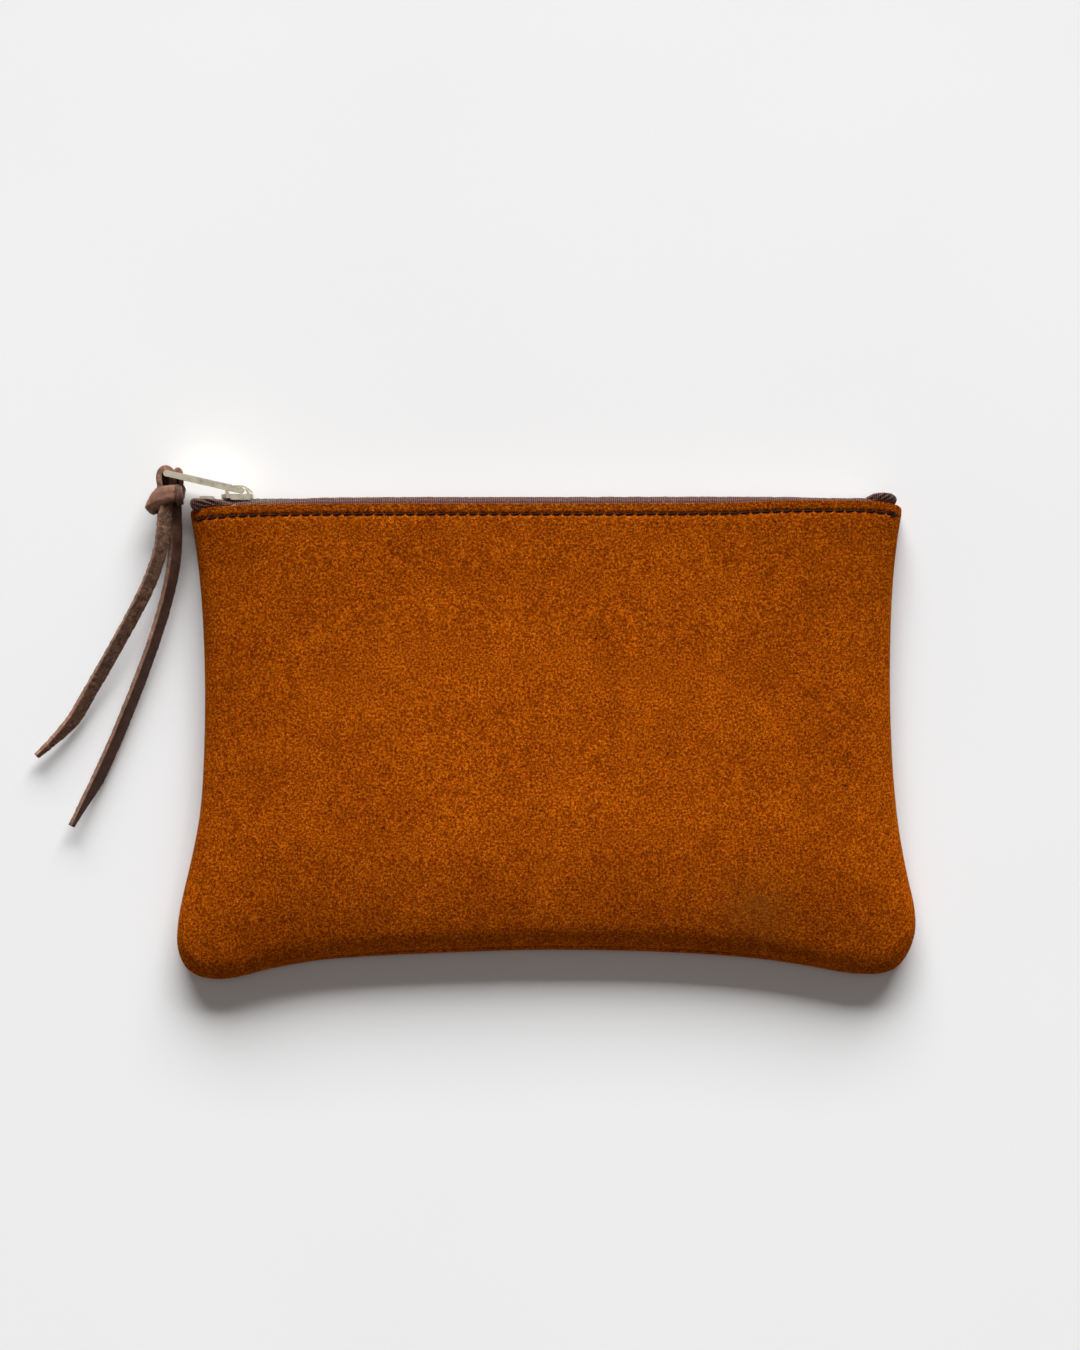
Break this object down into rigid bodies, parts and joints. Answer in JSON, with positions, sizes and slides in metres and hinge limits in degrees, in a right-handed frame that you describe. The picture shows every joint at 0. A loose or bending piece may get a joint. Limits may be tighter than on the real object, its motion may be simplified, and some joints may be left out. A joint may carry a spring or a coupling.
{
  "type": "zippered pouch",
  "caption": "Flat suede pouch with a metal zip along its top edge, opened by a pull tab with a knotted leather lace; it holds small flat things.",
  "frame": {"origin": "on the flat underside of the back panel, midway across the pouch, where it rests on a table", "axes": "+X along the zip from the closed end to the open end, +Y from the bottom seam to the zip, +Z out of the front panel"},
  "size_m": [0.2535, 0.1476, 0.0146],
  "materials": {
    "suede": "napped burnt orange suede",
    "zipper_tape": "woven dark brown tape",
    "zip_metal": "pale satin nickel",
    "slider_metal": "aged satin nickel",
    "lace_leather": "dark brown leather with raw edges",
    "thread": "waxed black-brown thread"
  },
  "bodies": {
    "pouch": {"front_panel": "suede", "back_panel": "suede", "front_zipper_tape": "zipper_tape", "back_zipper_tape": "zipper_tape", "front_teeth": "zip_metal", "back_teeth": "zip_metal", "front_top_stop": "zip_metal", "back_top_stop": "zip_metal", "bottom_stop": "zip_metal", "front_topstitch": "thread", "back_topstitch": "thread", "left_seam_stitches": "thread", "right_seam_stitches": "thread", "bottom_seam_stitches": "thread", "front_backstitches": "thread"},
    "slider": {"slider_body": "slider_metal", "slider_crown": "slider_metal", "lock_claw": "slider_metal"},
    "tab": {"pull_tab": "slider_metal"},
    "lace": {"lace_loop": "lace_leather", "lace_knot": "lace_leather", "lace_tail_left": "lace_leather", "lace_tail_right": "lace_leather"}
  },
  "joints": [
    {"name": "slider_travel", "type": "slide", "parent": "pouch", "child": "slider", "axis": [1, 0, 0], "range_m": [0, 0.174], "deforming": ["lace_loop", "lace_knot", "lace_tail_left", "lace_tail_right", "front_teeth", "back_teeth"]},
    {"name": "tab_swing", "type": "hinge", "parent": "slider", "child": "tab", "pos_m": [-0.0878, 0.06975, 0.0065], "axis": [0, 0, -1], "range_deg": [0, 154.4], "deforming": ["lace_loop", "lace_knot", "lace_tail_left", "lace_tail_right"]},
    {"name": "lace_swing", "type": "hinge", "parent": "tab", "child": "lace", "pos_m": [-0.10896, 0.07456, 0.0065], "axis": [0, 0, -1], "range_deg": [0, 175], "deforming": ["lace_loop", "lace_knot", "lace_tail_left", "lace_tail_right"]}
  ]
}
